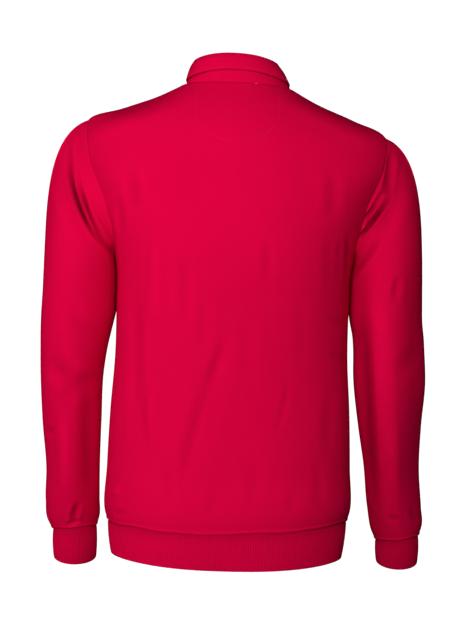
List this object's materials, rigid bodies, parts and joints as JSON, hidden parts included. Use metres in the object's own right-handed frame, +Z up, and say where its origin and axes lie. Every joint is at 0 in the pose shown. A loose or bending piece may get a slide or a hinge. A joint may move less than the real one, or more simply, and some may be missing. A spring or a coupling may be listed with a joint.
{
  "type": "sweatshirt",
  "caption": "Long-sleeved knitted sweatshirt in its worn hollow shape, with a turned-down collar, short buttoned placket, ribbed cuffs and ribbed hem band.",
  "frame": {"origin": "middle of the neck base, level with the two points where the collar meets the shoulders", "axes": "+Z up, -Y out of the front, +X to the wearer's left"},
  "size_m": [0.5972, 0.2733, 0.786],
  "materials": {
    "jersey": "matt knitted cotton face with a faint nap",
    "rib": "matt ribbed knit",
    "button": "satin"
  },
  "bodies": {
    "root": {"back": "jersey", "front": "jersey", "sleeve_left": "jersey", "sleeve_right": "jersey", "collar_stand": "jersey", "collar_fall": "jersey", "placket_upper": "jersey", "placket_lower": "jersey", "hem_band": "rib", "cuff_left": "rib", "cuff_right": "rib", "button_1": "button", "button_2": "button", "button_3": "button"}
  },
  "joints": []
}
